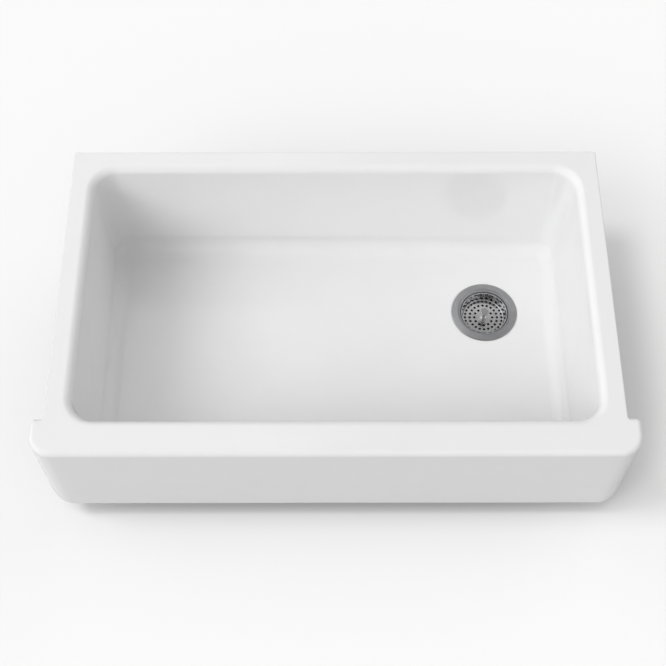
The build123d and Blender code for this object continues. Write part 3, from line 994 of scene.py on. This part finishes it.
        # A place divided by these lengths gives radians, so a wave is 2 pi times as long
        flow = (
            np.sin(x / 61 + 0.7 * np.sin(y / 83) + z / 47) + np.sin(y / 53 - x / 139 + 1.9)
            + np.sin(z / 37 + x / 97))
        return self.wave_mm * calm * (3 + flow) / 6

    def tight_edges(self, points: Points) -> Points:
        """How far the glass has run thin: most on the deck's edge and the apron's lower edge.

        Args:
            points: all points in millimetres.

        Returns:
            The share at each point, from 0 to 1.
        """
        x, y, z = points.T
        lip, reach = 0.8, 2.2  # how far from the edge the glass is thinnest, and how far in it is thin
        rim = self.rim
        at_edge = (np.abs(x) > rim.deck - reach) & (y > rim.ear_back) | (y > rim.back - reach)
        deck_edge = np.clip(1 - np.abs(z + lip) / (2 * lip), 0, 1) * at_edge
        low_edge = np.clip(1 - np.abs(z + self.apron_height - lip) / self.bottom_round, 0, 1)
        return np.maximum(deck_edge, low_edge)


@dataclass
class Strainer:
    """The parts of the strainer, which keep their CAD shapes, and what each is finished in."""

    rubber: tuple[str, ...] = ("floor_gasket", "tailpiece_washer", "stopper_seal", "grip_ring")
    stack: tuple[str, ...] = (
        "basket_washer", "spacer_sleeve", "upper_seal_disc", "lower_seal_disc", "retaining_nut",
        "outlet_crossbar")

    def finishes(self) -> dict[Finish, tuple[str, ...]]:
        """Each finish with the nodes that have it.

        Returns:
            Node names by finish.
        """
        return {
            # The body's lower part gets painted shade: the cup's inside is darkened because it lies in
            # shade
            TurnedSteel("turned_steel_satin", roughness=0.36, depth=0.03, cup_shade=True): (
                "strainer_body",),
            TurnedSteel("pressed_steel_mirror", "#D0D0D1", "#BEBEBF", 0.17, 0.02): ("basket_cup",),
            TurnedSteel("turned_steel_bright", "#CECECD", "#BABAB9", 0.12, 0.05): (
                "lift_post", "lift_knob"),
            # Painted shade: the washer, sleeve, seals, nut and crossbar inside the cup are coloured near
            # black for the shade they sit in
            TurnedSteel("turned_steel_shaded_dark", "#353332", "#242322", 0.5, 0.1): self.stack,
            PlatedBrass("chromed_brass_tube"): ("tailpiece", "coupling_nut"),
            PlatedBrass("nickelled_brass_cast", "#A39C90", "#8B8579", 0.3, 0.3): ("locknut",),
            SoftPart("moulded_rubber_black"): self.rubber,
            SoftPart("oil_putty", "#8A7F6B", "#776D5B", 0.55, 0.3, grain_mm=3.0, patch_mm=14.0): (
                "putty_ring",),
            SoftPart("pressed_fibre", "#6F4528", "#59351D", 0.75, 0.3, grain_mm=0.8, patch_mm=6.0): (
                "friction_ring",),
        }

    def dress(self) -> None:
        """Gives each node its finish."""
        for finish, names in self.finishes().items():
            made = finish.material()
            for name in names:
                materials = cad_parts[name].data.materials
                materials.clear()
                materials.append(made)
                log.info("%s is finished in %s", name, finish.name)


@dataclass(frozen=True)
class Panel:
    """A soft lamp of the room: a round patch of the world's sphere that fades out at its rim.

    It is full up to the inner angle from its direction, in degrees, and ends at the outer one.
    """

    toward: tuple[float, float, float]
    inner: float
    outer: float
    strength: float

    def glow(self, tree: Tree, way: Socket) -> Socket:
        """Adds the panel to the world.

        Args:
            tree: the world's node tree.
            way: output that gives the direction looked in.

        Returns:
            The output with the panel's light.
        """
        near = add_node(tree, "ShaderNodeVectorMath", {
            0: way, 1: Vector(self.toward).normalized()[:]}, operation="DOT_PRODUCT")
        return add_node(tree, "ShaderNodeMapRange", {
            "Value": near.outputs["Value"], "From Min": cos(radians(self.outer)),
            "From Max": cos(radians(self.inner)), "To Min": 0.0, "To Max": self.strength},
            interpolation_type="SMOOTHSTEP").outputs["Result"]


@dataclass(frozen=True)
class Sun:
    """A soft lamp far away: where it shines from, the angle that it fills in degrees, and its strength."""

    toward: tuple[float, float, float]
    spread: float
    strength: float

    def hang(self, name: str) -> bpy.types.Object:
        """Hangs the lamp.

        Args:
            name: name of the lamp.

        Returns:
            The lamp, in the scene.
        """
        light = bpy.data.lights.new(name, "SUN")
        light.energy, light.angle = self.strength, radians(self.spread)
        lamp = add_object(name, light)
        lamp.rotation_euler = Vector(self.toward).to_track_quat("Z", "Y").to_euler()
        return lamp


@dataclass
class Studio:
    """Pale floor, soft light and the camera."""

    floor_level: float = -244.7
    floor_radius: float = 9000.0
    floor_sides: int = 96
    hole_place: Pair = DRAIN
    hole_radius: float = 70.0
    floor: str = "#C4C4C4"
    floor_bounce: str = "#8B8B8B"
    floor_glow: float = 0.06
    # The keys shine from the left and the left front, and throw the shadows inside the bowl
    suns: tuple[Sun, ...] = (Sun((-0.8, -0.3, 1.0), 30, 0.33), Sun((-0.8, -0.8, 1.0), 30, 0.59))
    # These give the floor its shadows, to the right of the sink and under the apron
    floor_suns: tuple[Sun, ...] = (Sun((-0.46, 0.0, 1.0), 14, 1.17), Sun((-0.12, -0.15, 1.0), 20, 1.03))
    # Light for matt surfaces: overhead, front, left, left back, left front, right back and right
    lamps: tuple[Panel, ...] = (
        Panel((0.0, 0.0, 1.0), 18, 32, 0.21),
        Panel((0.0, -1.0, 0.9), 25, 50, 0.7),
        Panel((-1.0, -0.1, 0.6), 20, 45, 0.77),
        Panel((-0.7, 0.7, 0.8), 15, 35, 0.85),
        Panel((-0.7, -0.7, 0.8), 15, 35, 0.87),
        Panel((0.7, 0.7, 0.8), 15, 35, 1.2),
        Panel((1.0, -0.2, 0.5), 20, 45, 0.32),
    )
    # What polished surfaces mirror: one panel, in a room that gets darker from low down to overhead
    mirrored: tuple[Panel, ...] = (Panel((-0.6, 0.44, 0.67), 35.5, 39.5, 0.85),)
    horizon: float = 0.95
    zenith: float = 0.42
    room_fade: Pair = (0.3, 0.75)
    backdrop: float = 0.95
    eye: tuple[float, float, float] = (-3.2, -766.5, 1713.5)
    pitch: float = 28.73
    yaw: float = -0.08
    roll: float = 0.06
    lens: float = 68.8
    sensor: float = 36.0
    clip_metres: Pair = (0.05, 60.0)

    def build(self) -> None:
        """Builds the floor, the lights and the camera."""
        self.hang_suns(self.lay_floor())
        self.paint_room()
        self.place_camera()

    def lay_floor(self) -> bpy.types.Object:
        """Lays the round white floor that the sink stands on, with a hole that the strainer hangs through.

        Returns:
            The floor.
        """
        sides = self.floor_sides
        rings = [
            arc(self.hole_place, radius, 0, 360, sides) for radius in (self.floor_radius, self.hole_radius)]
        faces = quads(range(sides), range(sides, 2 * sides), closed=True)
        mesh = bpy.data.meshes.new("studio_floor")
        mesh.from_pydata((level(np.concatenate(rings), self.floor_level) * MM).tolist(), [], faces)
        mesh.materials.append(self.floor_paint())
        ground = add_object("studio_floor", mesh)
        return ground

    def floor_paint(self) -> bpy.types.Material:
        """Makes the floor's matt white.

        Returns:
            The material.
        """
        paint = bpy.data.materials.new("matt_white_floor")
        tree = empty_tree(paint)
        path = add_node(tree, "ShaderNodeLightPath")
        # Seen white, but less light is thrown back up on to the apron than white paper would throw
        tone = add_node(tree, "ShaderNodeMix", {
            "Factor": path.outputs["Is Diffuse Ray"], "A": linear(self.floor),
            "B": linear(self.floor_bounce)}, data_type="RGBA")
        glow = add_node(tree, "ShaderNodeMath", {
            0: path.outputs["Is Camera Ray"], 1: self.floor_glow}, operation="MULTIPLY")
        matt = add_node(tree, "ShaderNodeBsdfPrincipled", {
            "Base Color": tone.outputs["Result"], "Roughness": 1.0, "Specular IOR Level": 0.0,
            "Emission Color": (1, 1, 1, 1), "Emission Strength": glow.outputs["Value"]})
        add_node(tree, "ShaderNodeOutputMaterial", {"Surface": matt.outputs["BSDF"]})
        return paint

    def hang_suns(self, ground: bpy.types.Object) -> None:
        """Hangs the lamps that throw shadows: two for the sink, and two that light only the floor.

        Args:
            ground: the floor.
        """
        for place, sun in enumerate(self.suns):
            # Its mirror image would be a hard glint, so polished surfaces show the room's panels only
            sun.hang(f"soft_key_{place}").visible_glossy = False
        only = bpy.data.collections.new("lit_by_floor_lamps")
        only.objects.link(ground)
        for place, sun in enumerate(self.floor_suns):
            sun.hang(f"floor_lamp_{place}").light_linking.receiver_collection = only

    def paint_room(self) -> None:
        """Paints the room: lamps for matt surfaces, a calmer one for polished ones, white to the camera."""
        world = bpy.data.worlds.new("studio_room")
        bpy.context.scene.world = world
        tree = empty_tree(world)
        way = add_node(tree, "ShaderNodeTexCoord").outputs["Generated"]
        height = add_node(tree, "ShaderNodeSeparateXYZ", {"Vector": way})
        room = add_node(tree, "ShaderNodeMapRange", {
            "Value": height.outputs["Z"], "From Min": self.room_fade[0], "From Max": self.room_fade[1],
            "To Min": self.horizon, "To Max": self.zenith},
            interpolation_type="SMOOTHSTEP").outputs["Result"]
        for panel in self.mirrored:
            room = add_node(tree, "ShaderNodeMath", {0: room, 1: panel.glow(tree, way)}).outputs["Value"]
        light = self.lamps[0].glow(tree, way)
        for panel in self.lamps[1:]:
            light = add_node(tree, "ShaderNodeMath", {0: light, 1: panel.glow(tree, way)}).outputs["Value"]
        path = add_node(tree, "ShaderNodeLightPath")
        seen = add_node(tree, "ShaderNodeMix", {
            "Factor": path.outputs["Is Glossy Ray"], "A": light, "B": room})
        white = add_node(tree, "ShaderNodeMix", {
            "Factor": path.outputs["Is Camera Ray"], "A": seen.outputs["Result"], "B": self.backdrop})
        shine = add_node(tree, "ShaderNodeBackground", {
            "Color": (1, 1, 1, 1), "Strength": white.outputs["Result"]})
        add_node(tree, "ShaderNodeOutputWorld", {"Surface": shine.outputs["Background"]})

    def place_camera(self) -> None:
        """Puts the camera where the photograph was taken from."""
        optics = bpy.data.cameras.new("camera")
        optics.lens, optics.sensor_width = self.lens, self.sensor
        optics.clip_start, optics.clip_end = self.clip_metres
        camera = add_object("camera", optics)
        camera.location = Vector(self.eye) * MM
        camera.rotation_euler = Euler((radians(self.pitch), radians(self.roll), radians(self.yaw)))
        bpy.context.scene.camera = camera


def main() -> None:
    """Builds the looks in order and reports each piece."""
    logging.basicConfig(level=logging.INFO, format="%(name)s: %(message)s")
    bpy.context.scene.view_settings.view_transform = "Standard"
    casting = Casting().build()
    for finish in (VitreousEnamel(), GroundCoat()):
        casting.data.materials.append(finish.material())
    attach(casting, "root")
    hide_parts("sink_basin")
    log.info("%s has %d faces", casting.name, len(casting.data.polygons))
    Strainer().dress()
    Studio().build()


if __name__ == "__main__":
    main()
